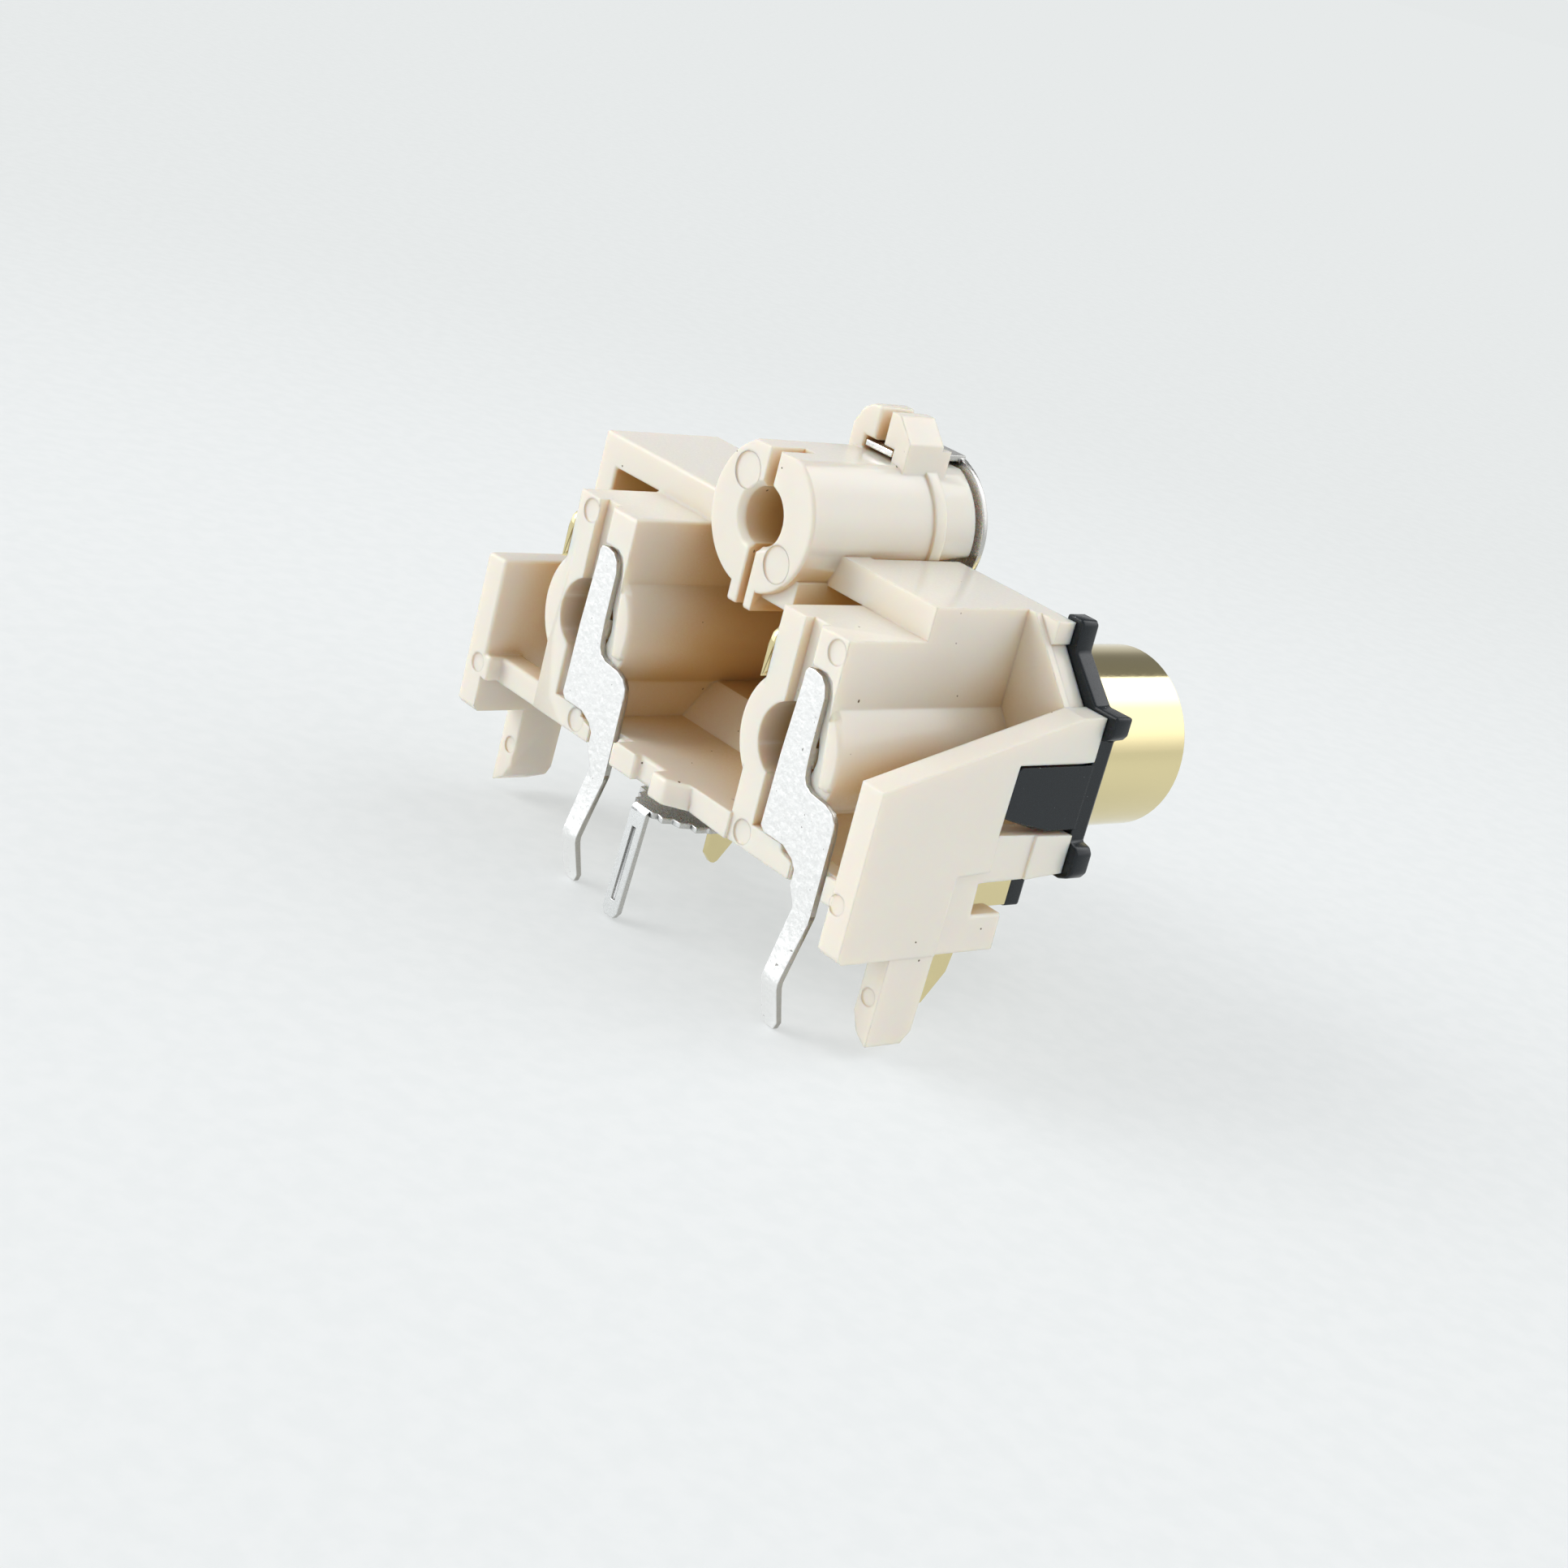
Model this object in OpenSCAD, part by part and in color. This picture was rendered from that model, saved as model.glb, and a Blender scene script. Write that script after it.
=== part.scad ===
// Two-way phono (RCA) jack block for a circuit board, with a screw boss and an earth plate.
// All sizes are millimetres. z = 0 is the top of the circuit board that the side flanges stand on.
// The parts are drawn as seen from behind: x to the right, y forward to the sleeves.
// place() turns each one half a turn at the end, so that the sleeves face -Y in the library.

/* [Which part to show] */
// one sub-part, or all of them

/* [Jacks] */
// distance between the two jacks
pitch = 14.7; // [12:0.1:20]
// height of the jack axis above the board
axis_z = 6.85; // [5:0.05:10]
// outer diameter of the plug-in sleeve, the size set by the phono plug
sleeve_d = 8.3; // [8:0.1:8.6]
// how far the sleeve's rim stands in front of the rear face of the housing
sleeve_end = 20.45; // [16:0.05:26]
// thickness of the gold-plated brass sheet
gold_t = 0.33; // [0.25:0.01:0.5]
// diameter of the hole for the plug's centre pin
bore_d = 3.5; // [3.3:0.1:3.8]

/* [Housing] */
// width of each jack block
block_w = 4.24; // [3.6:0.02:6]
// height of the top of the jack blocks
block_top = 12.2; // [10:0.1:16]
// diameter of the round part of each jack block
boss_d = 6.34; // [5.4:0.02:7]
// thickness of the roof slab on top of the blocks
roof_t = 1.5; // [1:0.1:2.5]
// rear edge of the roof slab, in front of the blocks' rear faces
roof_rear = 4.4; // [2:0.1:8]
// rear face of the front wall
wall_rear = 9.85; // [8:0.05:12]
// thickness of the front wall
wall_t = 1.35; // [1:0.05:2.5]
// thickness of the two side flanges
flange_t = 1.3; // [0.8:0.05:2]
// outer faces of the side flanges, from the middle
flange_x = 14.2; // [13.4:0.1:17]
// underside of the floor and rails above the board
floor_z = 1.65; // [1:0.05:2.5]
// thickness of the floor and rails
floor_t = 1.2; // [0.8:0.1:2]
// length of the board pegs under the flanges
peg_l = 4.05; // [2:0.05:6]

/* [Screw boss] */
// height of the screw boss axis
screw_z = 14.28; // [13.6:0.02:17]
// outer diameter of the screw boss
screw_d = 6.7; // [5.6:0.1:8]
// hole for the self-tapping panel screw
screw_bore = 2.6; // [2:0.1:3.2]
// rear face of the screw boss
screw_rear = 2.2; // [1:0.1:4]
// front end of the screw boss
screw_front = 12.1; // [11.6:0.1:13]

/* [Front plate and metal parts] */
// thickness of the black front plate
plate_t = 1.0; // [0.7:0.1:2]
// thickness of the contact and earth strip
strip_t = 0.3; // [0.2:0.05:0.5]
// width of the earth leg
earth_w = 1.05; // [0.8:0.05:1.5]
// running gap between pieces
gap = 0.05; // [0.03:0.01:0.15]

/* [Hidden] */
$fn = 72;
jack_x = pitch / 2;                     // jack axis from the middle
wall_front = wall_rear + wall_t;        // front face of the housing's front wall
roof_top = block_top + roof_t;
rail_top = floor_z + floor_t;
sleeve_ri = sleeve_d / 2 - gold_t;      // inner radius of the sleeve
block_edge = jack_x + block_w / 2;      // outer side of each jack block
flange_in = flange_x - flange_t;        // inner faces of the flanges
lug_x = flange_x + 0.5;                 // ends of the front plate's lugs, past the flanges
plate_rear = wall_front + gap;          // rear face of the front plate
plate_front = plate_rear + plate_t;
sleeve_from = plate_front + 0.1;        // where the full diameter of the sleeve begins
earth_y = plate_front + gap;            // rear face of the upright part of the earth plate
leg_x = 4.0;                            // earth leg of a shell, from its jack axis
arm_x = block_w / 2 + gap + gold_t;     // outer face of a shell's rear arm, from its jack axis
seat_y = strip_t;                       // floor of the contact's seat in the rear face
bore_len = 3.85;                        // straight part of the pin hole behind its lead-in
root_step = 0.2;                        // the sleeve is this much smaller in radius inside the front plate
nose_d = 2 * (sleeve_ri - root_step - gap);   // plastic nose inside the sleeve
flat_z = screw_z + 3.02;                // flat on top of the screw boss

IVORY = [0.93, 0.90, 0.83];
BLACK = [0.14, 0.15, 0.17];
GOLD = [0.86, 0.76, 0.45];
SILVER = [0.88, 0.88, 0.87];
TIN = [0.80, 0.81, 0.82];

// half a turn about Z: drawn facing +Y, used facing -Y
module place() { rotate([0, 0, 180]) children(); }
// a box given by its two opposite corners
module box(a, b) { translate(a) cube(b - a); }
// a bar along y from y0 to y1, round the axis (x, z)
module rod(x, z, d, y0, y1) { translate([x, y0, z]) rotate([-90, 0, 0]) cylinder(d = d, h = y1 - y0); }
// a bar like rod(), with its rear edge rounded by r in two steps
module soft_rod(x, z, d, y0, y1, r) {
  translate([x, y0, z]) rotate([-90, 0, 0]) {
    cylinder(d1 = d - 2 * r, d2 = d - 0.58 * r, h = 0.29 * r + 0.001);
    translate([0, 0, 0.29 * r]) cylinder(d1 = d - 0.58 * r, d2 = d, h = 0.71 * r + 0.001);
  }
  rod(x, z, d, y0 + r, y1);
}
// a flat sheet standing in the y-z plane from x0 to x1, cut to the outline pts = [[y, z], ...]
module side_sheet(x0, x1, pts) {
  translate([x0, 0, 0]) rotate([90, 0, 90]) linear_extrude(x1 - x0) polygon(pts);
}
// a flat sheet standing in the x-z plane from y0 to y1, cut to the outline pts = [[x, z], ...]
module face_sheet(y0, y1, pts) {
  translate([0, y1, 0]) rotate([90, 0, 0]) linear_extrude(y1 - y0) polygon(pts);
}

/* the housing, one ivory moulding */
// jack block: a narrow upright block with the round jack body through it
module jack_block(x) {
  box([x - block_w / 2, 0, floor_z], [x + block_w / 2, wall_rear + 0.2, block_top]);
  soft_rod(x, axis_z, boss_d, 0, wall_rear + 0.2, 0.4);
  rod(x, axis_z, nose_d, wall_rear, sleeve_end - 0.6);
}
// what is cut out of a jack block: pin hole, slot and seat for the contact, pocket for the shell
module jack_cuts(x) {
  rod(x, axis_z, bore_d, -1, sleeve_end + 1);
  rod(x, axis_z, bore_d + 0.6, 4, sleeve_end - 1 - bore_len);
  rod(x, axis_z, bore_d + 0.8, sleeve_end - 1.0, sleeve_end + 1);
  translate([x, 0, axis_z - 0.5]) linear_extrude(1.0) polygon([[1.2, -0.1], [1.53, 0.1], [2.0, 0.95],
    [2.02, 15.1], [1.2, 15.1]]);
  box([x - 0.7, -1, rail_top], [x + 0.27, 0.5, block_top + 1]);
  translate([x, 0, 0]) face_sheet(-1, seat_y, [[-0.7, rail_top], [-0.7, 10.45], [1.3, 10.45], [1.75, 10.2],
    [1.98, 9.7], [2.3, 7.5], [2.45, axis_z - 0.95], [5, axis_z - 0.95], [5, rail_top - 0.1],
    [4.25, rail_top - 0.1], [4.25, 0], [2.2, 0], [2.2, rail_top - 0.5], [1.3, rail_top - 0.3],
    [1.3, rail_top]]);
  difference() {
    face_sheet(wall_front - gold_t - gap, wall_front + 1, shell_outline(x, gap));
    rod(x, axis_z, nose_d, wall_rear, wall_front + 2);
  }
  box([x - arm_x - gap, wall_rear - 0.1, axis_z + 1.85], [x - block_w / 2, wall_front, axis_z + 4.42]);
  box([x + leg_x - gap, 6.8, -1], [x + leg_x + gold_t + gap, wall_front, 4.0]);
}
// side flange with the open window for the front plate's tongue and a notch below it
function flange_outline(top) = concat([
  [-0.7, 0.25], [-0.45, 0], [8.42, 0], [8.38, 1.69], [6.55, 1.66], [6.47, 3.2], [8.9, 3.25],
  [wall_front, 3.45], [wall_front, 5.2], [6.65, 5.35], [6.72, 8.5], [10.2, 8.5], [wall_front, 8.6]], top);
module flange_right() {
  difference() {
    side_sheet(flange_in, flange_x, flange_outline([[wall_front, 10.6], [wall_rear, 10.6], [-0.7, 7.6]]));
    side_sheet(flange_x - 0.12, flange_x + 1, [[4.82, -1], [9, -1], [9, 5.36], [6.73, 5.36], [6.75, 3.74],
      [4.88, 3.61]]);
  }
}
// the left flange is level at the rear and carries the wall under the long end of the roof
module flange_left() {
  side_sheet(-flange_x, -flange_in, flange_outline([[wall_front, roof_top], [roof_rear, roof_top],
    [roof_rear, 7.5], [-0.7, 7.5]]));
  box([-flange_in - 0.1, -0.7, floor_z], [-flange_in + 0.45, 1.2, rail_top]);
}
// a board peg: chamfered to the inside and rounded at its front corner
module peg(side) {
  x0 = flange_in + 0.05;
  x1 = flange_x - 0.05;
  mirror([side < 0 ? 1 : 0, 0, 0]) intersection() {
    side_sheet(x0, x1, [[2.3, 0.1], [2.3, -peg_l], [4.3, -peg_l], [4.75, 0.55 - peg_l], [4.85, 0.1]]);
    face_sheet(2, 5, [[x0, 0.2], [x0, 1.1 - peg_l], [x0 + 0.3, 0.5 - peg_l], [x1 - 0.1, -peg_l],
      [x1, -peg_l], [x1, 0.2]]);
  }
}
// front wall: a thin rear layer with cut corners, then the layer with the corner tabs
module front_wall() {
  in = flange_in + 0.1;
  foot = [[-flange_x, roof_top], [-flange_x, 8.6], [-in, 8.6], [-in, 3.2], [-11.25, 3.2],
    [-11.25, floor_z], [11.25, floor_z], [11.25, 3.2], [in, 3.2]];
  face_sheet(wall_rear, wall_rear + 0.4, concat(foot, [[in, 10.45], [11.05, 12.5], [9.9, roof_top]]));
  face_sheet(wall_rear + 0.35, wall_front, concat(foot, [[in, 10.3], [10.85, 12.6], [11.05, 12.72],
    [11.05, roof_top]]));
}
// floor between the blocks, its stepped rear rail and the raised part in front
module floor_plate() {
  w = jack_x - block_w / 2 + 0.1;
  box([-w, 0, floor_z], [w, wall_rear + 0.1, rail_top]);
  side_sheet(-w, w, [[5.3, rail_top - 0.1], [5.3, rail_top], [6.8, 4.6], [wall_rear + 0.1, 4.6],
    [wall_rear + 0.1, rail_top - 0.1]]);
  translate([0, 0, floor_z]) linear_extrude(floor_t) polygon([[-w, 0.1], [-w, 0.05], [-2.6, 0.05],
    [-2.6, -0.65], [-0.85, -0.65], [-0.85, -0.3], [0.75, -0.3], [0.75, -1.0], [1.8, -1.0], [2.6, -0.15],
    [w, -0.15], [w, 0.1]]);
}
// screw boss on the roof: slotted at the rear, with a slotted fin under it and a flat on top
module screw_boss() {
  soft_rod(0, screw_z, screw_d, screw_rear, wall_rear - 0.4, 0.2);
  rod(0, screw_z, screw_d + 0.3, wall_rear - 0.45, wall_rear + 0.2);
  rod(0, screw_z, screw_d - 0.1, wall_rear, screw_front);
  box([-0.78, screw_rear, 10.2], [0.82, wall_rear + 0.1, screw_z - 2.5]);
  box([0.2, screw_rear + 0.5, 10.9], [2.85, wall_rear + 0.1, block_top + 0.1]);
}
module screw_cuts() {
  rod(0, screw_z, screw_bore, screw_rear - 1, screw_front + 1);
  translate([0, screw_rear - 0.01, screw_z]) rotate([-90, 0, 0])
    cylinder(d1 = screw_bore + 0.5, d2 = screw_bore, h = 0.3);
  box([-0.32, screw_rear - 1, screw_z], [0.36, screw_rear + 1.9, screw_z + screw_d]);
  box([-0.2, screw_rear - 1, 9], [0.3, wall_rear - 1, screw_z]);
  box([-2, screw_rear - 1, flat_z], [2, screw_front + 1, screw_z + 5]);
  side_sheet(1.8, 4.5, [[wall_rear + 0.05, 13.55], [screw_front + 0.1, 13.8], [screw_front + 0.1, 11],
    [wall_rear + 0.05, 11]]);
}
// latch on the boss: two prongs with a slot between them and a window that holds the earth strip
module latch() {
  difference() {
    union() {
      face_sheet(8.0, 10.05, [[-1.9, screw_z + 2.2], [-1.9, 18.4], [-1.5, 19.1], [-0.9, 19.4], [0.9, 19.4],
        [1.9, 18.4], [1.9, screw_z + 2.2]]);
      face_sheet(10.0, 10.6, [[-1.9, screw_z + 2.2], [-1.9, 18.2], [-1.4, 18.2], [-1.4, 17.95], [1.4, 17.95],
        [1.4, 18.2], [1.9, 18.2], [1.9, screw_z + 2.2]]);
    }
    box([-0.34, 7, 17.8], [0.34, 10.7, 20]);
    box([-1.02, 7, 17.12], [1.02, 11, 17.9]);
  }
}
module ejector_mark(x, y, z, d) { rod(x, z, d, y - 1, y + 0.08); }
module housing() color(IVORY) place() difference() {
  union() {
    for (x = [-jack_x, jack_x]) jack_block(x);
    difference() {
      union() {
        box([-flange_x, roof_rear, block_top], [block_edge, wall_rear + 0.1, roof_top]);
        front_wall();
      }
      box([2.4, 6.0, roof_top - 0.28], [3.55, wall_front + 1, roof_top + 1]);
    }
    flange_right();
    flange_left();
    peg(1);
    peg(-1);
    floor_plate();
    box([-flange_in, 0.05, floor_z], [-block_edge + 0.1, 1.4, rail_top]);
    box([block_edge - 0.1, 0.05, floor_z], [flange_in, 1.4, rail_top]);
    difference() { screw_boss(); screw_cuts(); }
    latch();
  }
  for (x = [-jack_x, jack_x]) jack_cuts(x);
  rod(0, screw_z, screw_bore, screw_rear + 1, screw_front + 1);
  box([-0.2, screw_rear - 1, 9], [0.3, roof_rear + 1, screw_z]);
  for (x = [-jack_x - 1.15, jack_x + 1.55]) ejector_mark(x, 0, 11.5, 1.1);
  for (x = [-jack_x + 1.1, jack_x - 1.2]) ejector_mark(x, 0, 2.3, 1.1);
  for (x = [-flange_x + 0.85, flange_x - 0.9]) ejector_mark(x, -0.7, 2.3, 0.9);
  for (x = [-13.4, 13.55]) ejector_mark(x, 2.3, -2.0, 0.8);
  ejector_mark(-1.46, screw_rear, 15.88, 1.66);
  ejector_mark(1.74, screw_rear, 12.7, 1.66);
}

/* the black front plate, behind the panel */
function plate_half() = [
  [10.43, 13.3], [10.43, 13.9], [11.3, 13.9], [11.45, 13.75], [11.47, 12.55], [flange_x - 0.85, 10.78],
  [lug_x, 10.8], [lug_x, 9.95], [lug_x - 0.15, 9.75], [flange_x - 0.1, 9.5], [flange_x - 0.15, 4.85],
  [lug_x - 0.2, 4.75], [lug_x, 4.5], [lug_x, 3.6], [lug_x - 0.2, 3.3], [flange_x - 0.2, 3.1],
  [11.55, 3.1], [11.55, 0.6]];
plate_notch = [[1.5, 0.6], [1.5, 0.9], [0, 0.9]];   // lets the earth plate's foot pass
module front_plate() color(BLACK) place() {
  difference() {
    union() {
      face_sheet(plate_rear, plate_front, concat([[0, 13.3]], plate_half(), plate_notch));
      mirror([1, 0, 0]) face_sheet(plate_rear, plate_front, concat([[0, 13.3]], plate_half(), plate_notch));
    }
    for (x = [-jack_x, jack_x]) rod(x, axis_z, sleeve_d + 2 * gap, plate_rear - 1, plate_front + 1);
    rod(0, screw_z, screw_d + 0.5, plate_rear - 1, plate_front + 1);
    box([-1.3, plate_rear - 1, screw_z], [1.3, plate_front + 1, screw_z + 5]);
  }
  for (s = [0, 1]) mirror([s, 0, 0]) side_sheet(flange_in + 0.15, flange_x - 0.1, [[plate_rear + 0.1, 8.4],
    [7.0, 8.4], [6.85, 8.25], [6.8, 6.1], [8.2, 5.7], [9.2, 5.45], [plate_rear + 0.1, 5.45]]);
}

/* gold-plated shells: sleeve, flange, rear arm and board leg drawn from one sheet */
function shell_outline(x, g) = [
  [x - 4.75 - g, axis_z - 2.4], [x - 2.6 - g, axis_z - 4.75 - g], [x + leg_x + gold_t + g, axis_z - 4.75 - g],
  [x + leg_x + gold_t + g, axis_z + 2.4], [x + 2.2, axis_z + 4.75 + g], [x - 3.0, axis_z + 4.75 + g],
  [x - 4.75 - g, axis_z + 3.0]];
module shell(x) color(GOLD) place() difference() {
  union() {
    face_sheet(wall_front - gold_t, wall_front, shell_outline(x, 0));
    rod(x, axis_z, sleeve_d - 2 * root_step, wall_front - gold_t, sleeve_from + 0.2);
    rod(x, axis_z, sleeve_d, sleeve_from, sleeve_end);
    difference() {
      side_sheet(x - arm_x, x - arm_x + gold_t, [[wall_front, axis_z + 1.9], [0, axis_z + 1.9], [0, 10.5],
        [0.08, 10.85], [0.35, 11.13], [0.7, 11.22], [wall_front, 11.22]]);
      rod(x, axis_z, boss_d + 2 * gap, -1, wall_front - gold_t);
    }
    side_sheet(x + leg_x, x + leg_x + gold_t, [[wall_front, 3.95], [wall_front, 0.75], [9.18, 0.75],
      [8.7, -2.3], [7.7, -3.7], [7.5, -3.8], [7.3, -3.75], [6.9, -3.3], [6.9, 3.95]]);
  }
  rod(x, axis_z, nose_d + 2 * gap, wall_front - 1, sleeve_end + 1);
  rod(x, axis_z, 2 * sleeve_ri, sleeve_from + gold_t, sleeve_end + 1);
}
module shell_left() shell(-jack_x);
module shell_right() shell(jack_x);

/* silver-plated signal contacts: a flat strip with a kinked board leg and a spring blade in the pin hole */
module contact(x) color(SILVER) place() translate([x, 0, 0]) {
  face_sheet(-0.05, strip_t - 0.05, [[0.08, 9.7], [0.08, 10.15], [0.2, 10.35], [0.6, 10.4], [1.1, 10.3],
    [1.42, 10.0], [1.58, 9.5], [1.57, 7.3], [1.62, 6.4], [1.68, 6.05], [1.85, 5.75], [2.2, 5.6], [3.2, 5.5],
    [3.7, 5.3], [3.98, 4.95], [4.05, 4.6], [4.05, 0.8], [2.85, 0.8], [2.4, 1.5], [2.4, 2.2], [2.1, 2.55],
    [1.4, 2.87], [0.1, 2.87], [-0.2, 3.1], [-0.12, 6.5]]);
  // kinked leg, cut from its side outline and tapered in front view
  intersection() {
    side_sheet(2, 5, [[-0.05, 0.9], [-0.05, 0.6], [-0.66, -2.1], [-0.7, -2.35], [-0.64, -2.6], [0, -4.6],
      [0.32, -4.6], [-0.33, -2.5], [-0.35, -2.2], [0.25, 0.55], [0.25, 0.9]]);
    face_sheet(-2, 2, [[4.05, 0.9], [3.85, -2.6], [3.85, -4.2], [3.6, -4.6], [3.05, -4.6], [2.8, -4.2],
      [2.8, -2.6], [2.85, 0.9]]);
  }
  // spring blade in the pin hole
  translate([0, 0, axis_z - 0.45]) linear_extrude(0.9) polygon([[1.25, strip_t - 0.15], [1.25, 0.4],
    [1.65, 1.05], [1.65, 15], [1.95, 15], [1.95, 0.9], [1.55, strip_t - 0.15]]);
}
module contact_left() contact(-jack_x);
module contact_right() contact(jack_x);

/* tin-plated earth plate: ring on the screw boss, strip through the latch, and board leg */
module earth_plate() color(TIN) place() {
  // top strip
  box([-0.9, 8.05, 17.48], [0.9, earth_y + strip_t, 17.78]);
  // upright part with the ring
  difference() {
    union() {
      rod(0, screw_z, 7.0, earth_y, earth_y + strip_t);
      box([-0.9, earth_y, screw_z], [0.9, earth_y + strip_t, 17.7]);
      box([-1.3, earth_y, 0.5], [1.3, earth_y + strip_t, screw_z - 2.5]);
    }
    rod(0, screw_z, 3.2, earth_y - 1, earth_y + 1);
  }
  // foot under the floor, with the barbed edges at its rear
  translate([0, 0, 0.5]) linear_extrude(strip_t) polygon(concat(
    [[1.3, earth_y + strip_t], [1.3, 4.6], [2.6, 4.2], [2.6, 1.5], [2.5, 1.4], [2.45, 0.82], [2.0, 0.9],
     [1.85, 0.35], [1.4, 0.3], [1.3, -0.22], [0.85, -0.1], [0.75, -0.3], [0.53, -0.3]],
    [[-0.53, -0.3], [-0.6, -0.1], [-0.95, 0.0], [-1.0, 0.45], [-1.5, 0.55], [-1.6, 1.05], [-2.1, 1.1],
     [-2.15, 1.6], [-2.6, 1.7], [-2.6, 4.2], [-1.3, 4.6], [-1.3, earth_y + strip_t]]));
  // board leg with a stamped groove and a rounded tip
  difference() {
    intersection() {
      side_sheet(-earth_w / 2, earth_w / 2, [[-0.15, 0.8], [-0.3, 0.77], [-0.42, 0.68], [-0.5, 0.5],
        [-0.8, -4.6], [-0.5, -4.6], [-0.22, 0.5], [-0.15, 0.5]]);
      face_sheet(-2, 1, [[-earth_w / 2, 1], [-earth_w / 2, -4.2], [-0.3, -4.5], [0.3, -4.5],
        [earth_w / 2, -4.2], [earth_w / 2, 1]]);
    }
    side_sheet(-0.13, 0.13, [[-0.9, -0.2], [-0.46, -0.2], [-0.67, -3.7], [-0.9, -3.7]]);
  }
}

housing();
front_plate();
shell_left();
shell_right();
contact_left();
contact_right();
earth_plate();
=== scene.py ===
# %% [markdown]
# # A two-way phono jack block for a circuit board
#
# The object is a connector about 28 mm wide. One ivory moulding carries two gold
# sleeves, a screw boss with an earth plate, and the contacts with their board legs.
# The CAD model already has every real shape and size, and this script gives it its
# finishes, its rounded edges, the light of a small studio table and the camera.

# %% Load the frame
import math

import bmesh
import bpy
from mathutils import Euler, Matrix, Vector
from mathutils.bvhtree import BVHTree
from mathutils.kdtree import KDTree


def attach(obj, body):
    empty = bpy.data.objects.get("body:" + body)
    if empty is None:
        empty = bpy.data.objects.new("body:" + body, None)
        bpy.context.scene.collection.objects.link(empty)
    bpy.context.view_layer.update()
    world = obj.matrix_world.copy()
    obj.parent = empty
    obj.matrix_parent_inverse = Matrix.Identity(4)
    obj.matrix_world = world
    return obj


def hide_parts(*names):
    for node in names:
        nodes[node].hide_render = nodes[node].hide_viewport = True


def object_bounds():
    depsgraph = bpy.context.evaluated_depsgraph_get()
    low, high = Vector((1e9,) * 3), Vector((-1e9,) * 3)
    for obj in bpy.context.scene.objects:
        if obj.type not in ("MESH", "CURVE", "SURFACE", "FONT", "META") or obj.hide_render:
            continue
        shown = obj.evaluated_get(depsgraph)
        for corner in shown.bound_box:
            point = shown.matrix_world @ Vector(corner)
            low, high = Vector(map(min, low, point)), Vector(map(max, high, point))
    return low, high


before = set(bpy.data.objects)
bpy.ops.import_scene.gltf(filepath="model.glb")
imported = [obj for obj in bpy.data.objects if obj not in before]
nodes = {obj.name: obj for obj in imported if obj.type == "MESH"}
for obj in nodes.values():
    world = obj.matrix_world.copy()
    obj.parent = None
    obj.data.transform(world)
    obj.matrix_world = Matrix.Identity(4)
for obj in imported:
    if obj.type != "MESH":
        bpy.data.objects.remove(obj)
cad_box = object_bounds()
mm = 0.001
print("nodes:", sorted(nodes))

# %% [markdown]
# ## Colours
#
# A finish is easiest to choose as the colour that a screen shows. Shaders calculate
# with linear light, so one function turns a hex colour into what they need.


# %% Hex colours
def hex_colour(text):
    """Turns "#RRGGBB" as seen on a screen into linear light."""
    channels = [int(text[i : i + 2], 16) / 255 for i in (1, 3, 5)]
    linear = [c / 12.92 if c <= 0.04045 else ((c + 0.055) / 1.055) ** 2.4 for c in channels]
    return (*linear, 1.0)


# %% [markdown]
# ## One helper for shader nodes
#
# A finish is a small tree of nodes. Each line below adds one node, gives it its
# settings and the values of its sockets, and links what feeds it. Sockets may share a
# name, as the three kinds of Mix do, so a socket is found by its name or its number.


# %% Add a node
def add_node(tree, kind, values=None, links=None, **settings):
    """Adds a node: settings are its own options, values and links go to its input sockets."""
    node = tree.nodes.new(kind)
    for name, value in settings.items():
        setattr(node, name, value)
    for socket, value in (values or {}).items():
        node.inputs[socket].default_value = value
    for socket, source in (links or {}).items():
        tree.links.new(source, node.inputs[socket])
    return node


MIX_FACTOR, MIX_A, MIX_B, MIX_RESULT = 0, 6, 7, 2  # the colour sockets of a Mix node


def mix_colour(tree, factor, a, b):
    """Blends from a to b, each a colour or the output of another node."""
    given = {MIX_A: a, MIX_B: b}
    values = {k: v for k, v in given.items() if isinstance(v, tuple)}
    links = {k: v for k, v in given.items() if not isinstance(v, tuple)}
    mix = add_node(tree, "ShaderNodeMix", data_type="RGBA")
    for socket, value in values.items():
        mix.inputs[socket].default_value = value
    for socket, source in {MIX_FACTOR: factor, **links}.items():
        tree.links.new(source, mix.inputs[socket])
    return mix.outputs[MIX_RESULT]


def noise(tree, place, size, detail=2.0):
    """Soft random spots of about this size in millimetres, as a value from 0 to 1."""
    return add_node(
        tree, "ShaderNodeTexNoise", {"Scale": 1 / (size * mm), "Detail": detail}, {"Vector": place}
    ).outputs["Fac"]


def steps(tree, value, low, high, to_low=0.0, to_high=1.0):
    """Spreads the part of a value between low and high over a new range, with soft ends."""
    return add_node(
        tree,
        "ShaderNodeMapRange",
        {"From Min": low, "From Max": high, "To Min": to_low, "To Max": to_high},
        {"Value": value},
        interpolation_type="SMOOTHSTEP",
    ).outputs["Result"]


def bump(tree, height, depth, before=None):
    """Turns a value into a fine relief, depth in millimetres, on top of an earlier one."""
    links = {"Height": height, **({"Normal": before} if before else {})}
    return add_node(tree, "ShaderNodeBump", {"Distance": depth * mm}, links).outputs["Normal"]


def new_material(name):
    """A material with its node tree, its shader and the place of each point on the object."""
    material = bpy.data.materials.new(name)
    material.use_nodes = True
    tree = material.node_tree
    place = add_node(tree, "ShaderNodeTexCoord").outputs["Object"]
    return material, tree, tree.nodes["Principled BSDF"], place


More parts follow.
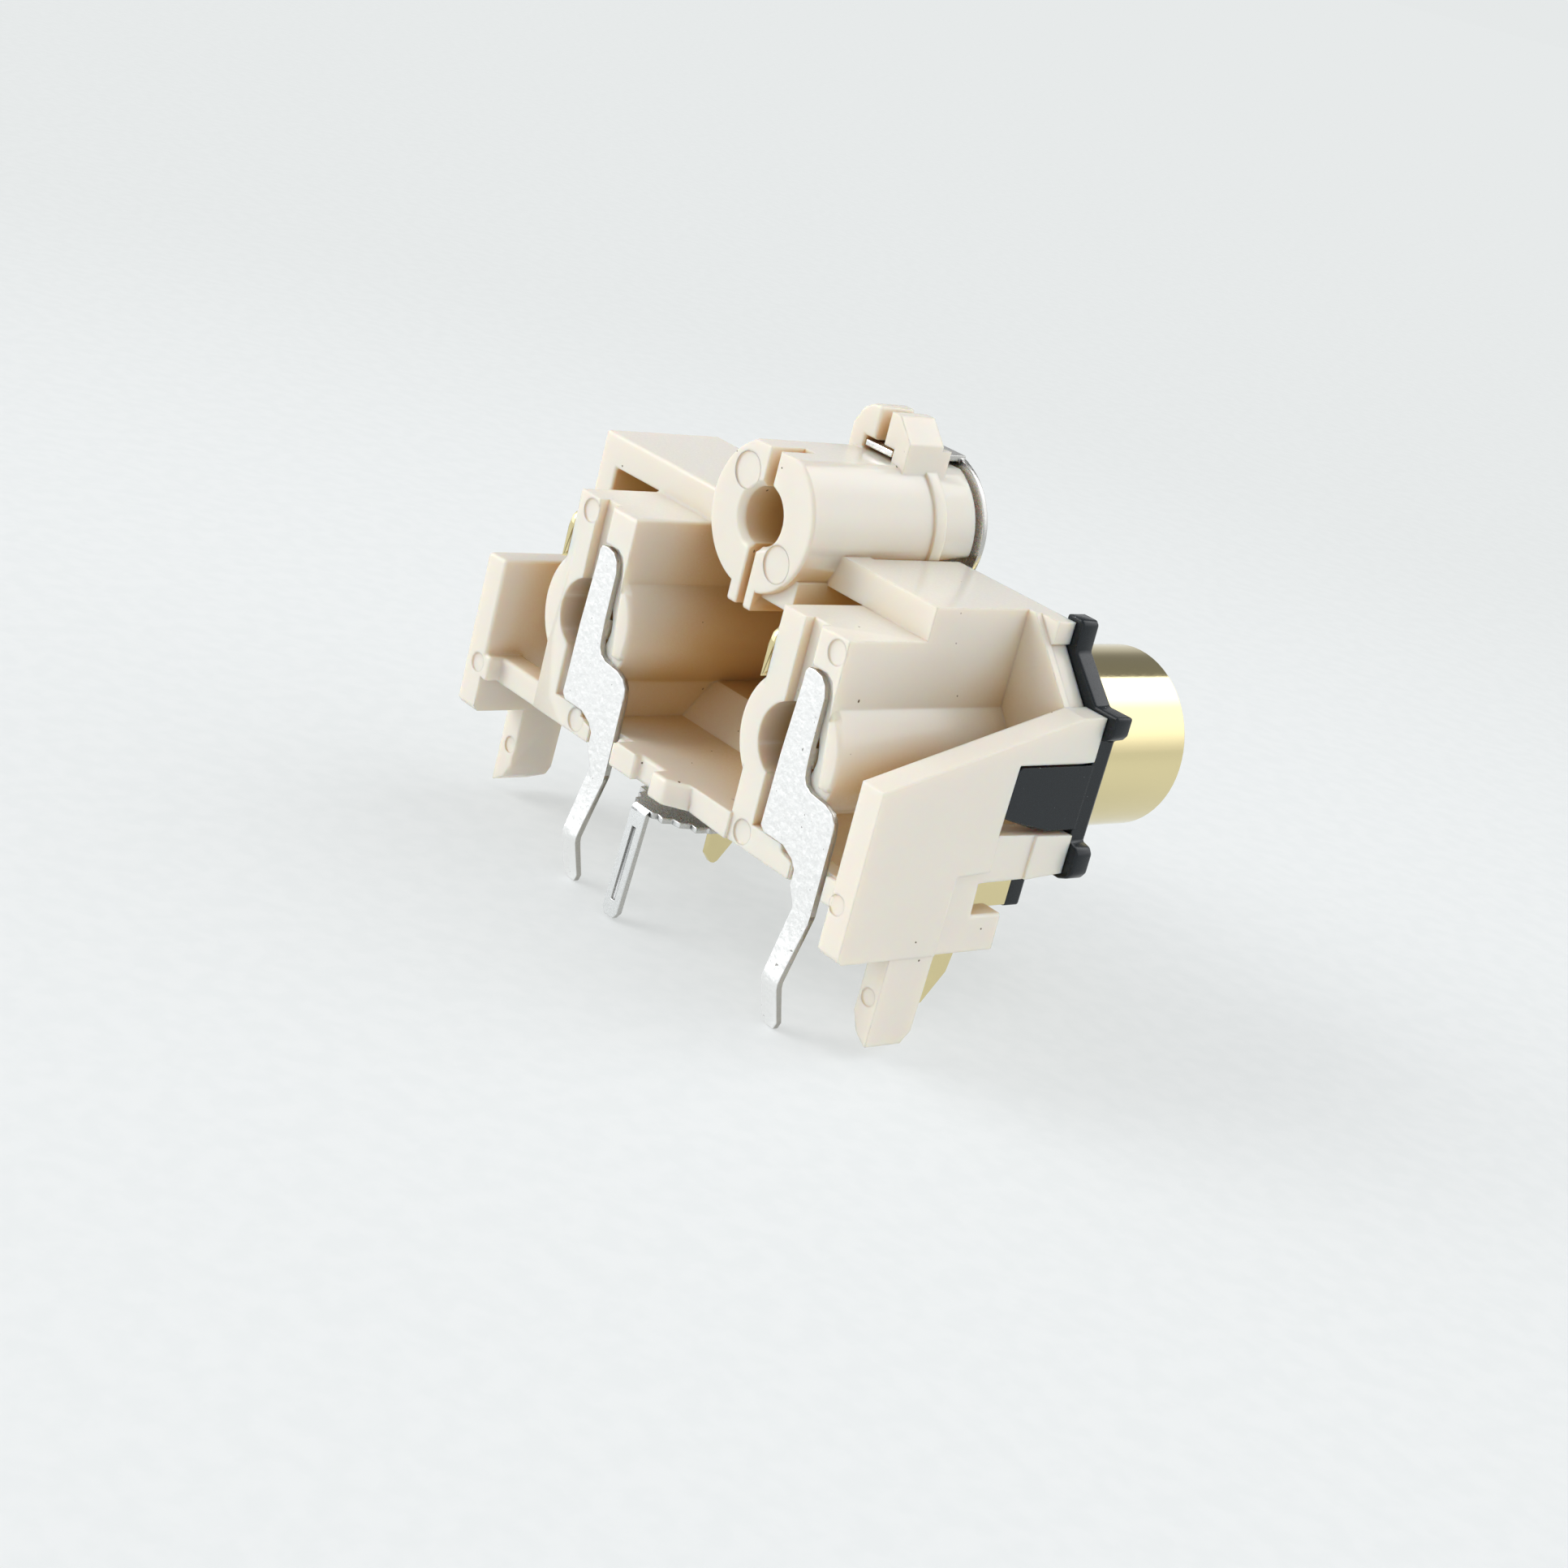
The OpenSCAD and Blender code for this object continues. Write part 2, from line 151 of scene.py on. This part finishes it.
# %% [markdown]
# ## The ivory moulding
#
# The housing is injection-moulded PBT in its natural ivory. It is glossy, because the
# steel mould is polished, and light goes a little way into it. That light comes out
# warmer, so thin edges glow and the deep hollows between the blocks are brown instead
# of grey. Subsurface scattering makes the glow. The brown is painted shade: an Ambient
# Occlusion node measures how closed in a point is, and the more closed in it is, the
# closer its colour is painted towards a warm tan, in place of the light that bounces
# about inside the plastic.


# %% Ivory PBT
def moulded_ivory():
    """Natural PBT: pale and glossy, painted tan shade where closed in, rare dark specks."""
    material, tree, shader, place = new_material("moulded ivory PBT")
    cloud = noise(tree, place, 6.0)
    pale = mix_colour(tree, cloud, hex_colour("#E5E1D7"), hex_colour("#E2DCCF"))
    hollow = add_node(
        tree, "ShaderNodeAmbientOcclusion", {"Distance": 12 * mm}, samples=8, only_local=True
    )
    openness = hollow.outputs["AO"]
    # Painted shade: the colour goes warm tan, then deeper tan, the more closed in a point is.
    warm_painted_shade = mix_colour(tree, steps(tree, openness, 0.2, 0.66), hex_colour("#E4CFAB"), pale)
    closed = mix_colour(tree, steps(tree, openness, 0.08, 0.44), hex_colour("#CFA76C"), warm_painted_shade)
    speck = steps(tree, noise(tree, place, 0.3, 0.0), 0.885, 0.9)
    spotted = mix_colour(tree, speck, closed, hex_colour("#6A5A48"))
    tree.links.new(spotted, shader.inputs["Base Color"])
    shader.inputs["Subsurface Weight"].default_value = 0.6
    shader.inputs["Subsurface Radius"].default_value = (1.0, 0.55, 0.25)
    shader.inputs["Subsurface Scale"].default_value = 0.9 * mm
    shader.inputs["IOR"].default_value = 1.5
    grain = noise(tree, place, 0.12)
    tree.links.new(steps(tree, grain, 0.3, 0.7, 0.14, 0.24), shader.inputs["Roughness"])
    soft = add_node(tree, "ShaderNodeBevel", {"Radius": 0.16 * mm}, samples=4).outputs["Normal"]
    flow = bump(tree, noise(tree, place, 1.6, 3.0), 0.006, soft)
    tree.links.new(bump(tree, grain, 0.0012, flow), shader.inputs["Normal"])
    return material


# %% [markdown]
# ## The black plate
#
# The plate is ABS with black pigment, so no light enters it. Its mould was finely
# blasted, which gives a satin face: what it mirrors is blurred and weak. A Bevel node
# bends the light softly round its edges, and a few grains of dust lie on it.


# %% Black ABS
def moulded_black():
    """Pigmented ABS: satin, blue-black, with a little dust."""
    material, tree, shader, place = new_material("moulded black ABS")
    cloud = noise(tree, place, 2.0, 3.0)
    body = mix_colour(tree, cloud, hex_colour("#0B1217"), hex_colour("#111A1F"))
    dust = steps(tree, noise(tree, place, 0.16, 1.0), 0.78, 0.82)
    dusty = mix_colour(tree, dust, body, hex_colour("#9AA2A5"))
    tree.links.new(dusty, shader.inputs["Base Color"])
    shader.inputs["Specular IOR Level"].default_value = 0.36
    grain = noise(tree, place, 0.1)
    tree.links.new(steps(tree, grain, 0.3, 0.7, 0.2, 0.28), shader.inputs["Roughness"])
    soft = add_node(tree, "ShaderNodeBevel", {"Radius": 0.1 * mm}, samples=4).outputs["Normal"]
    tree.links.new(bump(tree, grain, 0.0012, soft), shader.inputs["Normal"])
    return material


# %% [markdown]
# ## Plated metals
#
# The sleeves and their sheets are brass with a thin bright gold plating, drawn in a
# polished die, so they mirror the room with few blurs. The contacts are copper alloy
# with a thick satin silver plating that is full of small pits, and the earth plate is
# tin-plated steel. A metal has no colour but that of its mirror image, so each is one
# pale colour, and its roughness says how blurred the image is.


# %% Plating
def plated_metal(
    name, colour, roughness, wave, wave_size, pits_and_painted_shade, corner=(0.5, 0.92), pits=0.0, cut=None
):
    """A coloured mirror: uneven polish, painted shade in its corners, waviness of rolled sheet.

    wave and wave_size are the depth and width of the waves in millimetres. corner is how
    closed in a point is where the painted shade of the corners starts and ends, pits how
    dark the pits are, and cut the colour of the edges where the press cut the sheet. The
    painted corner shade and the pits share one dark colour."""
    material, tree, shader, place = new_material(name)
    shader.inputs["Metallic"].default_value = 1.0
    near = add_node(
        tree, "ShaderNodeAmbientOcclusion", {"Distance": 0.35 * mm}, samples=8, only_local=True
    )
    # Painted shade: the plating is painted darker where a point is closed in, in corners and
    # grooves.
    outside_painted_shade = steps(tree, near.outputs["AO"], *corner)
    plate = mix_colour(tree, outside_painted_shade, hex_colour(pits_and_painted_shade), hex_colour(colour))
    if cut:
        normal = add_node(tree, "ShaderNodeNewGeometry").outputs["Normal"]
        facing = add_node(tree, "ShaderNodeSeparateXYZ", links={0: normal}).outputs["Y"]
        turned = add_node(tree, "ShaderNodeMath", links={0: facing}, operation="ABSOLUTE")
        face = steps(tree, turned.outputs[0], 0.3, 0.8)
        plate = mix_colour(tree, face, hex_colour(cut), plate)
    spots = steps(tree, noise(tree, place, 0.22, 1.0), 0.74, 0.8)
    worn = add_node(tree, "ShaderNodeMath", {1: pits}, {0: spots}, operation="MULTIPLY").outputs[0]
    tree.links.new(mix_colour(tree, worn, plate, hex_colour(pits_and_painted_shade)), shader.inputs["Base Color"])
    polish = noise(tree, place, 0.1)
    blur = steps(tree, polish, 0.3, 0.7, roughness * 0.75, roughness * 1.35)
    tree.links.new(blur, shader.inputs["Roughness"])
    tree.links.new(bump(tree, noise(tree, place, wave_size, 4.0), wave), shader.inputs["Normal"])
    return material


# %% The five finishes
ivory_pbt = moulded_ivory()
black_abs = moulded_black()
# The third colour of each plating is painted shade for its corners; for silver it is also the colour
# of its real pits.
gold_plate = plated_metal("gold-plated brass", "#E5D7A6", 0.1, 0.0012, 0.7, "#8A7A4A")
silver_plate = plated_metal(
    "satin silver-plated copper",
    "#FDFDFC",
    0.4,
    0.05,
    0.35,
    "#6E6A62",
    pits=0.7,
    cut="#BAB7B0",
)
tin_plate = plated_metal(
    "bright tin-plated steel",
    "#F2F3F3",
    0.26,
    0.006,
    0.4,
    "#3A3936",
    corner=(0.8, 0.97),
    cut="#C4C3BF",
)
NODE_FINISH = {
    "housing": ivory_pbt,
    "front_plate": black_abs,
    "shell_left": gold_plate,
    "shell_right": gold_plate,
    "contact_left": silver_plate,
    "contact_right": silver_plate,
    "earth_plate": tin_plate,
}

# %% [markdown]
# ## Rounded edges
#
# A mould or a press never leaves a knife edge. A small radius catches a thin line of
# light, and without it the part looks like a drawing. Each CAD mesh is copied, its
# flat faces are joined again, and a Bevel modifier rounds the sharp edges. One radius
# would be too wide for the narrow steps, so each edge has its own share of it. The
# shares are found by trying: where a rounded face comes out turned over, the edges
# around it overlap, so they get a smaller share and the mesh is rounded again.

# %% First guess: an edge beside a short one is rounded less
SHARP = math.radians(32)  # a fold by more than this is an edge, not part of a curve
IN_LINE = 0.93  # how far along an edge its neighbour runs, from which on it takes no room
ROOM = 0.42  # the share of a short side that the radius may take


def is_sharp(edge):
    return len(edge.link_faces) == 2 and edge.calc_face_angle(0.0) > SHARP


def first_shares(work, radius):
    """For each sharp edge, the share of the radius that its side neighbours leave room for."""
    shares = {}
    for edge in filter(is_sharp, work.edges):
        share = 1.0
        for corner in edge.verts:
            run = (edge.other_vert(corner).co - corner.co).normalized()
            for side in corner.link_edges:
                turn = (side.other_vert(corner).co - corner.co).normalized()
                if side is not edge and abs(run.dot(turn)) < IN_LINE:
                    share = min(share, ROOM * side.calc_length() / radius)
        shares[edge.index] = share
    return shares


# %% Turn a piece and its modifiers into a plain mesh
def plain_mesh(piece):
    evaluated = piece.evaluated_get(bpy.context.evaluated_depsgraph_get())
    mesh = bpy.data.meshes.new_from_object(evaluated)
    piece.modifiers.clear()
    piece.data = mesh
    return mesh


# %% Find what went wrong
SLIVER = 1e-5 * mm * mm  # a triangle smaller than this doesn't show
TOO_FAR = 0.6  # of the radius: a rounded edge stays nearer than this to the CAD surface


def turned_over(mesh, surface, radius):
    """Centres of the triangles that face against the CAD surface or lie too far from it."""
    wrong = []
    mesh.calc_loop_triangles()
    for triangle in mesh.loop_triangles:
        centre = sum((mesh.vertices[i].co for i in triangle.vertices), Vector()) / 3
        _, normal, _, distance = surface.find_nearest(centre)
        against = triangle.normal.dot(normal) < 0.0 and triangle.area > SLIVER
        if against or distance > TOO_FAR * radius:
            wrong.append(centre)
    return wrong


def smaller_shares(work, shares, wrong, reach, factor):
    """Takes the shares of the edges near each wrong place down by a factor."""
    tree = KDTree(len(wrong))
    for i, place in enumerate(wrong):
        tree.insert(place, i)
    tree.balance()
    for edge in work.edges:
        if edge.index in shares:
            a, b = (v.co for v in edge.verts)
            count = 1 + int((b - a).length / reach)
            if any(tree.find(a.lerp(b, (i + 0.5) / count))[2] < reach for i in range(count)):
                shares[edge.index] *= factor


# %% Round the edges of a CAD node
REACH = 0.25 * mm  # edges this near to a wrong triangle get a smaller share
TRIES, LAST_TRIES = 12, 4  # in the last tries such an edge is left sharp


def rounded_copy(node, radius, segments=2):
    """A copy of a CAD node's mesh with its sharp edges rounded, to stand in for the node."""
    work = bmesh.new()
    work.from_mesh(nodes[node].data)
    bmesh.ops.remove_doubles(work, verts=work.verts, dist=0.0005 * mm)
    surface = BVHTree.FromBMesh(work)
    bmesh.ops.dissolve_limit(
        work, angle_limit=math.radians(0.5), verts=work.verts, edges=work.edges, delimit={"NORMAL"}
    )
    work.edges.index_update()
    share_layer = work.edges.layers.float.new("bevel_weight_edge")
    shares = first_shares(work, radius * mm)
    copy = bpy.data.objects.new(node + "_rounded", bpy.data.meshes.new(node))
    bpy.context.collection.objects.link(copy)
    for attempt in range(TRIES):
        for edge in work.edges:
            edge[share_layer] = shares.get(edge.index, 0.0)
        copy.data = bpy.data.meshes.new(node)
        work.to_mesh(copy.data)
        bevel = copy.modifiers.new("edge radius", "BEVEL")
        bevel.width = radius * mm
        bevel.segments = segments
        bevel.limit_method = "WEIGHT"
        bevel.use_clamp_overlap = False
        wrong = turned_over(plain_mesh(copy), surface, radius * mm)
        print(node, "try", attempt + 1, "wrong triangles:", len(wrong))
        if not wrong:
            break
        factor = 0.5 if attempt < TRIES - LAST_TRIES else 0.0
        smaller_shares(work, shares, wrong, REACH, factor)
    work.free()
    plain = copy.data
    plain.materials.clear()
    plain.materials.append(NODE_FINISH[node])
    plain.shade_smooth()
    plain.set_sharp_from_angle(angle=SHARP)
    flat = copy.modifiers.new("flat faces stay flat", "WEIGHTED_NORMAL")
    flat.keep_sharp = True
    flat.weight = 100
    plain_mesh(copy).name = node + "_rounded"
    print(node, "rounded:", len(shares), "edges,", len(copy.data.polygons), "faces")
    return copy


EDGE_RADIUS = {  # in millimetres
    "housing": 0.16,
    "front_plate": 0.12,
    "shell_left": 0.06,
    "shell_right": 0.06,
    "contact_left": 0.07,
    "contact_right": 0.07,
    "earth_plate": 0.06,
}
for node, radius in EDGE_RADIUS.items():
    piece = rounded_copy(node, radius)
    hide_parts(node)
    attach(piece, "root")

# %% [markdown]
# ## Ejector-pin marks
#
# Pins push the moulding out of the mould, and each leaves a round mark with a fine
# raised rim. The rims repeat, so Geometry Nodes make them: one ring is put on a point
# for each mark, turned to face backwards and scaled to the mark's diameter. The
# result is made a plain mesh, because the exported model keeps no modifiers.

# %% Places of the marks
# In millimetres. The faces are given by how far forward of the blocks' rear they lie.
BLOCK_FACE, FLANGE_FACE, BOSS_FACE, PEG_FACE = 0.0, -0.7, 2.2, 2.3
JACK_X = 7.35  # jack axis from the middle
EJECTOR_MARKS = [  # x to the right as seen from behind, z up, the face, the diameter
    (-JACK_X - 1.15, 11.5, BLOCK_FACE, 1.1),
    (JACK_X + 1.55, 11.5, BLOCK_FACE, 1.1),
    (-JACK_X + 1.1, 2.3, BLOCK_FACE, 1.1),
    (JACK_X - 1.2, 2.3, BLOCK_FACE, 1.1),
    (-13.35, 2.3, FLANGE_FACE, 0.9),
    (13.3, 2.3, FLANGE_FACE, 0.9),
    (-13.4, -2.0, PEG_FACE, 0.8),
    (13.55, -2.0, PEG_FACE, 0.8),
    (-1.46, 15.88, BOSS_FACE, 1.66),
    (1.74, 12.7, BOSS_FACE, 1.66),
]


# %% Geometry Nodes tree for the rims
def rim_tree(finish):
    """A ring on every point of the mesh, as wide as the point's diameter."""
    tree = bpy.data.node_groups.new("ejector rims", "GeometryNodeTree")
    tree.interface.new_socket("Points", in_out="INPUT", socket_type="NodeSocketGeometry")
    tree.interface.new_socket("Rim share", in_out="INPUT", socket_type="NodeSocketFloat")
    tree.interface.new_socket("Rims", in_out="OUTPUT", socket_type="NodeSocketGeometry")
    given = add_node(tree, "NodeGroupInput").outputs
    profile = add_node(
        tree, "GeometryNodeCurvePrimitiveCircle", {"Resolution": 6}, {"Radius": given["Rim share"]}
    )
    circle = add_node(tree, "GeometryNodeCurvePrimitiveCircle", {"Resolution": 40, "Radius": 0.5})
    ring = add_node(
        tree,
        "GeometryNodeCurveToMesh",
        links={"Curve": circle.outputs["Curve"], "Profile Curve": profile.outputs["Curve"]},
    )
    diameter = add_node(
        tree, "GeometryNodeInputNamedAttribute", {"Name": "diameter"}, data_type="FLOAT"
    )
    rings = add_node(
        tree,
        "GeometryNodeInstanceOnPoints",
        {"Rotation": (math.pi / 2, 0, 0)},
        {
            "Points": given["Points"],
            "Instance": ring.outputs["Mesh"],
            "Scale": diameter.outputs["Attribute"],
        },
    )
    real = add_node(
        tree, "GeometryNodeRealizeInstances", links={"Geometry": rings.outputs["Instances"]}
    )
    done = add_node(
        tree, "GeometryNodeSetMaterial", {"Material": finish}, {"Geometry": real.outputs["Geometry"]}
    )
    add_node(tree, "NodeGroupOutput", links={"Rims": done.outputs["Geometry"]})
    return tree


# %% Make the rims
RIM_SHARE = 0.007  # half the width of a rim, as a share of the mark's diameter
points = bpy.data.meshes.new("ejector_rims")
points.from_pydata([(-x * mm, -face * mm, z * mm) for x, z, face, _ in EJECTOR_MARKS], [], [])
diameters = points.attributes.new("diameter", "FLOAT", "POINT")
diameters.data.foreach_set("value", [mark[3] * mm for mark in EJECTOR_MARKS])
rims = bpy.data.objects.new("ejector_rims", points)
bpy.context.collection.objects.link(rims)
maker = rims.modifiers.new("rims", "NODES")
maker.node_group = rim_tree(ivory_pbt)
rim_share = maker.node_group.interface.items_tree["Rim share"].identifier
maker[rim_share] = RIM_SHARE
plain_mesh(rims).shade_smooth()
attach(rims, "root")
print("rims:", len(EJECTOR_MARKS), "with", len(rims.data.polygons), "faces")

# %% [markdown]
# ## Camera
#
# The camera's place, turn and lens were fitted to the photograph once. It stands
# behind the block, to the right and a little above, 12 cm away.

# %% Camera
lens = bpy.data.cameras.new("camera")
lens.sensor_width = 36.0
lens.lens = 63.634
lens.clip_start = 1 * mm
lens.clip_end = 20.0
camera = bpy.data.objects.new("camera", lens)
camera.location = (-85.7755 * mm, 76.1036 * mm, 41.777 * mm)
camera.rotation_euler = Euler([math.radians(a) for a in (70.8724, -13.9936, -129.5377)])
bpy.context.collection.objects.link(camera)
bpy.context.scene.camera = camera

# %% [markdown]
# ## The white sheet
#
# The block lies on a sheet of white paper under broad light, so its shadow is faint.
# A plain white plane would show it much darker. To the camera and to anything glossy,
# the sheet is mostly its own pale grey, and only partly what the lamps make of it: the
# shadow is still there, at about two fifths of its strength. The object itself is lit
# by the plain plane.

# %% Sheet of paper
SHEET_TONE = "#E6E9E9"
floor_z = cad_box[0][2] - 0.02 * mm
bpy.ops.mesh.primitive_plane_add(size=12.0, location=(0, 0, floor_z))
sheet = bpy.context.object
sheet.name = "white_sheet"


def white_paper(own_light, near, far):
    """Matt paper with a faint mottle.

    own_light is how much of it the camera sees without shadow. It rises to all of it
    between near and far, in millimetres."""
    material, tree, shader, place = new_material("white paper")
    mottle = steps(tree, noise(tree, place, 1.2, 6.0), 0.35, 0.65)
    paper = mix_colour(tree, mottle, hex_colour("#ECEFEF"), hex_colour("#EFF1F1"))
    tree.links.new(paper, shader.inputs["Base Color"])
    shader.inputs["Roughness"].default_value = 0.9
    shader.inputs["Specular IOR Level"].default_value = 0.0
    tone = mix_colour(tree, mottle, hex_colour(SHEET_TONE), hex_colour("#E8EBEB"))
    glow = add_node(tree, "ShaderNodeEmission", links={"Color": tone}).outputs[0]
    distance = add_node(tree, "ShaderNodeVectorMath", links={0: place}, operation="LENGTH")
    own = steps(tree, distance.outputs["Value"], near * mm, far * mm, own_light, 1.0)
    ray = add_node(tree, "ShaderNodeLightPath").outputs
    seen = add_node(
        tree,
        "ShaderNodeMath",
        links={0: ray["Is Camera Ray"], 1: ray["Is Glossy Ray"]},
        operation="MAXIMUM",
    )
    share = add_node(
        tree, "ShaderNodeMath", links={0: seen.outputs[0], 1: own}, operation="MULTIPLY"
    )
    mix = add_node(
        tree, "ShaderNodeMixShader", links={0: share.outputs[0], 1: shader.outputs[0], 2: glow}
    )
    tree.links.new(mix.outputs[0], tree.nodes["Material Output"].inputs["Surface"])
    return material


sheet.data.materials.append(white_paper(0.62, near=40, far=160))

# %% [markdown]
# ## Light
#
# Nothing in the photograph has a hard shadow: the light is a bright ceiling and a
# window, seen through thin cloud. Two wide suns from behind and beside the camera
# do the same. Their levels and the room's add up to plain daylight on a face turned
# up, so that each colour renders about as it is written.


# %% Lamps
def soft_sun(name, towards, level, spread):
    """A sun in the direction given, with its spread in degrees.

    Level 1 is full daylight on a face turned to it."""
    data = bpy.data.lights.new(name, "SUN")
    data.energy = level * math.pi
    data.angle = math.radians(spread)
    lamp = bpy.data.objects.new(name, data)
    lamp.rotation_euler = Vector(towards).to_track_quat("Z", "Y").to_euler()
    bpy.context.collection.objects.link(lamp)
    return lamp


soft_sun("window", (0.62, 0.7, 0.62), 0.36, 34)
soft_sun("lamp beside the camera", (-0.7, 0.6, 0.4), 0.08, 50)

# %% [markdown]
# ## Room
#
# A mirror shows what stands around it, so the gold sleeves need a room. On them the
# photograph shows a nearly white band with a sharp edge against a dark one: the edge
# of a bright panel in front of the block, with a dark corner beside it. The world
# shader makes both from the direction of a ray. The camera itself sees the pale grey
# of the sheet's far end.


# %% Room
def soft_room(level, horizon_level, window_level, panel_level, core_level, corner_level):
    """A pale room with a bright panel before the block and a dark corner beside its edge."""
    world = bpy.data.worlds.new("soft room")
    world.use_nodes = True
    tree = world.node_tree
    ray_way = add_node(tree, "ShaderNodeTexCoord").outputs["Generated"]

    def toward(way):
        """How far a ray points this way, from -1 to 1."""
        ahead = tuple(Vector(way).normalized())
        return add_node(
            tree, "ShaderNodeVectorMath", {1: ahead}, {0: ray_way}, operation="DOT_PRODUCT"
        ).outputs["Value"]

    def disc(way, outer, inner):
        """A round patch of the room: 1 inside the inner angle, 0 outside the outer one."""
        limits = [math.cos(math.radians(angle)) for angle in (outer, inner)]
        return steps(tree, toward(way), *limits)

    def times(a, b):
        return add_node(tree, "ShaderNodeMath", links={0: a, 1: b}, operation="MULTIPLY").outputs[0]

    def blend(a, b, share):
        """A value between a and b."""
        mix = add_node(tree, "ShaderNodeMix", links={0: share})
        for socket, value in ((2, a), (3, b)):
            if isinstance(value, float):
                mix.inputs[socket].default_value = value
            else:
                tree.links.new(value, mix.inputs[socket])
        return mix.outputs[0]

    edge = math.radians(10)
    past_edge = toward((math.cos(edge), 0, -math.sin(edge)))
    height = toward((0, 0, 1))
    before = steps(tree, past_edge, 0.012, -0.012)
    beyond = steps(tree, past_edge, -0.012, 0.012)
    low = steps(tree, height, 0.4, 0.0)
    panel = times(disc((-0.42, -0.66, 0.62), 46, 24), before)
    panel = times(panel, steps(tree, height, -0.2, 0.4))
    core = times(disc((-0.02, -0.66, 0.75), 26, 8), before)
    corner = times(disc((0.36, -0.66, 0.66), 28, 12), beyond)
    window = disc((0.72, 0.62, 0.15), 50, 20)
    strength = blend(level, horizon_level, low)
    strength = blend(strength, window_level, window)
    strength = blend(strength, panel_level, panel)
    strength = blend(strength, core_level, core)
    strength = blend(strength, corner_level, corner)
    sky = tree.nodes["Background"]
    sky.inputs["Color"].default_value = hex_colour("#FCFDFF")
    tree.links.new(strength, sky.inputs["Strength"])
    seen = add_node(
        tree, "ShaderNodeBackground", {"Color": hex_colour(SHEET_TONE), "Strength": 1.0}
    )
    ray = add_node(tree, "ShaderNodeLightPath").outputs["Is Camera Ray"]
    mix = add_node(
        tree, "ShaderNodeMixShader", links={0: ray, 1: sky.outputs[0], 2: seen.outputs[0]}
    )
    tree.links.new(mix.outputs[0], tree.nodes["World Output"].inputs["Surface"])
    bpy.context.scene.world = world


soft_room(
    level=0.46,
    horizon_level=0.8,
    window_level=1.7,
    panel_level=1.7,
    core_level=3.0,
    corner_level=0.24,
)
bpy.context.scene.view_settings.view_transform = "Standard"
